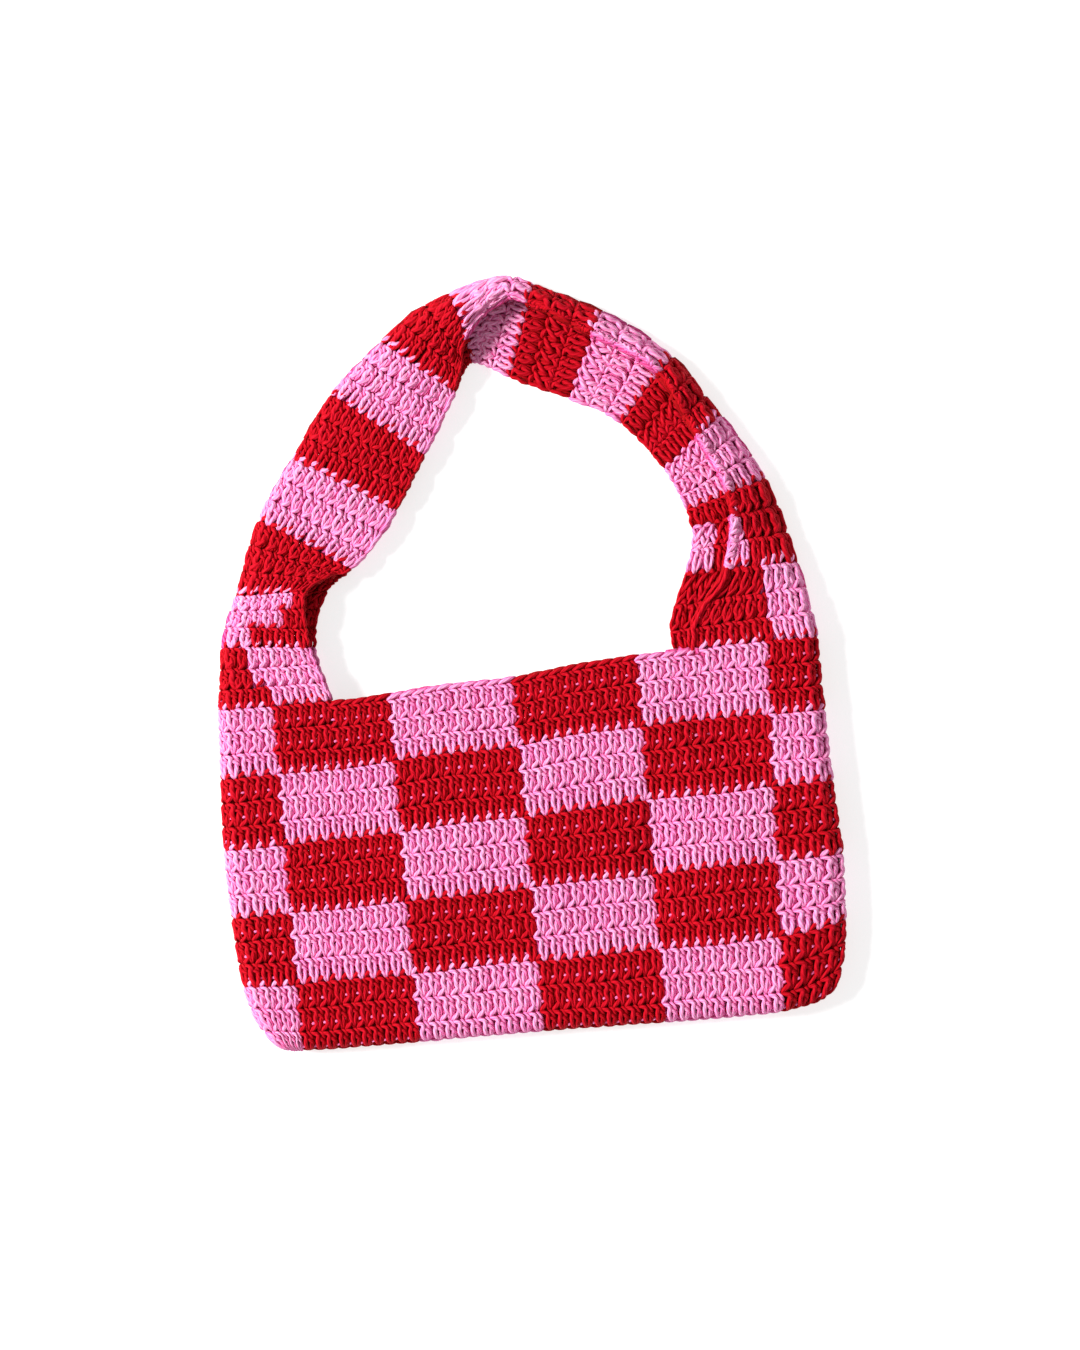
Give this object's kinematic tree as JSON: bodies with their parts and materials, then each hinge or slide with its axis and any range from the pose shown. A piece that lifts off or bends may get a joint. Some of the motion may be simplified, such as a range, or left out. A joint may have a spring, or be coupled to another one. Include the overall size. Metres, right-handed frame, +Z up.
{
  "type": "crochet shoulder bag",
  "caption": "Slouchy crochet shoulder bag lying flat: open-topped checkerboard pouch with a striped strap folded lengthwise and joined to the rim at both sides.",
  "frame": {"origin": "on the surface that the bag lies on, under the middle of its outline", "axes": "+X across the pouch to the right as the picture shows it, +Y from the pouch's base to the strap's crest, +Z up out of the bag's front"},
  "size_m": [0.2776, 0.341, 0.0201],
  "materials": {
    "red_cotton_yarn": "matt soft-twist cotton yarn, crocheted",
    "pink_cotton_yarn": "matt soft-twist cotton yarn, crocheted"
  },
  "bodies": {
    "root": {"pouch": "red_cotton_yarn", "strap": "pink_cotton_yarn"}
  },
  "joints": []
}
